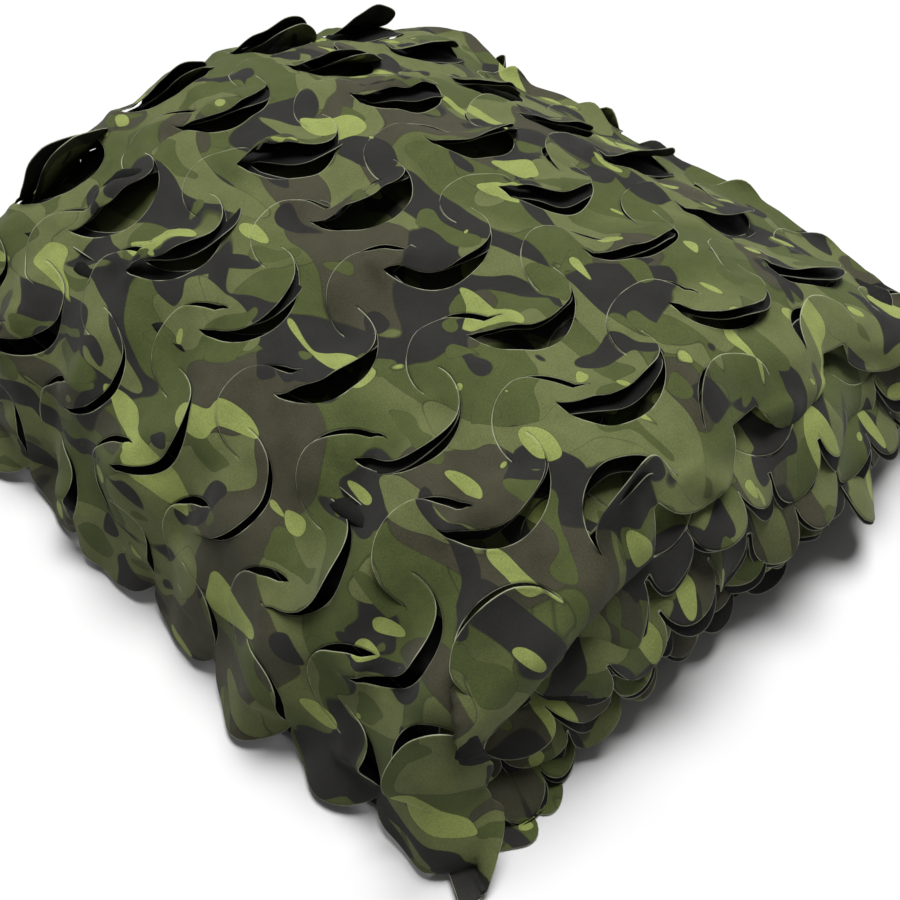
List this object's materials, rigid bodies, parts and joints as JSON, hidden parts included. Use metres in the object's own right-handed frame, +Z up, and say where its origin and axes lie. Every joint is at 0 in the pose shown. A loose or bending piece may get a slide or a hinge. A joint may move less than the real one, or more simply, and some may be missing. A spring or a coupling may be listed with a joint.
{
  "type": "camouflage net",
  "caption": "Camouflage net of laser-cut printed cloth with round leaf-like flaps, folded back and forth into a low domed bundle that lies on a surface.",
  "frame": {"origin": "on the ground under the middle of the bundle's box", "axes": "+Z up; +X along the folds, from the lower rounded end to the taller end where the cut edges show; +Y from the side where the covering length hangs to the ground, towards the side where the folds show"},
  "size_m": [0.6088, 0.5044, 0.2038],
  "materials": {
    "printed_cloth": "matte woven polyester, printed on the face with a blob camouflage in greens, brown-grey and charcoal, black on the reverse"
  },
  "bodies": {
    "root": {"camouflage_net": "printed_cloth"}
  },
  "joints": []
}
